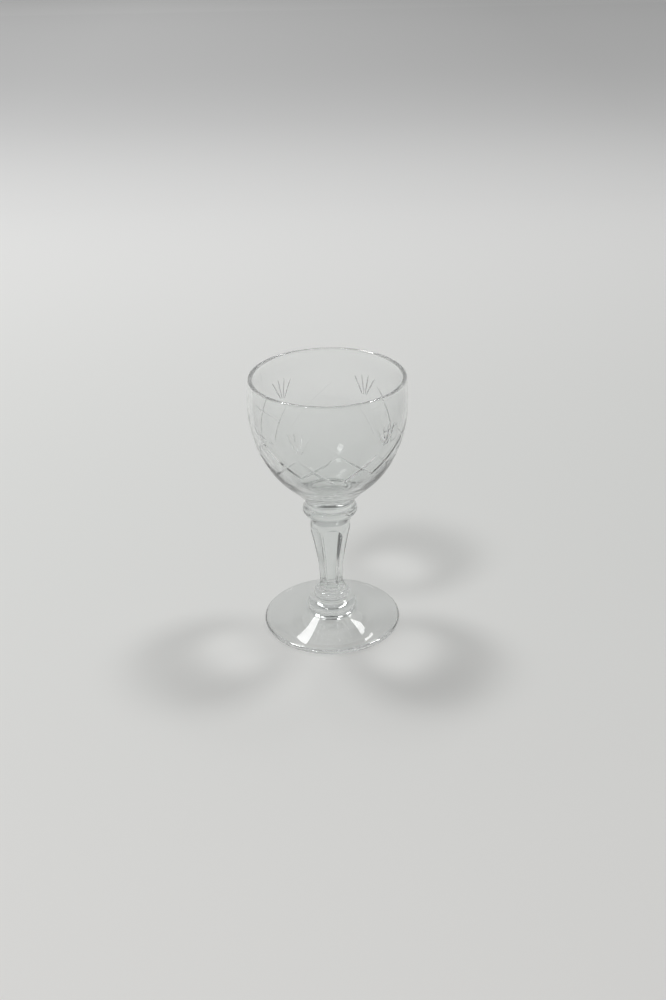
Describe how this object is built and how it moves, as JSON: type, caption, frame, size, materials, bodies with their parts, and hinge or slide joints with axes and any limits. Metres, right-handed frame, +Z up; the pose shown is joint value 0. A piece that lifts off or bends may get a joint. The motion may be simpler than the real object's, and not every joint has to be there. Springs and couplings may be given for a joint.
{
  "type": "schnapps glass",
  "caption": "Small stemmed drinking glass with an egg-shaped bowl cut with crossing lines and fans, a hexagonal tapering stem, a collar and a round foot.",
  "frame": {"origin": "middle of the flat ring under the foot, on the table", "axes": "+Z up along the glass's axis, from foot to rim; -Y faces one flat panel of the stem and the middle between two fans of the bowl"},
  "size_m": [0.048, 0.048, 0.085],
  "materials": {
    "clear_glass": "polished"
  },
  "bodies": {
    "root": {"foot": "clear_glass", "base_ring": "clear_glass", "base_bead": "clear_glass", "stem": "clear_glass", "collar": "clear_glass", "neck_bead": "clear_glass", "bowl": "clear_glass"}
  },
  "joints": []
}
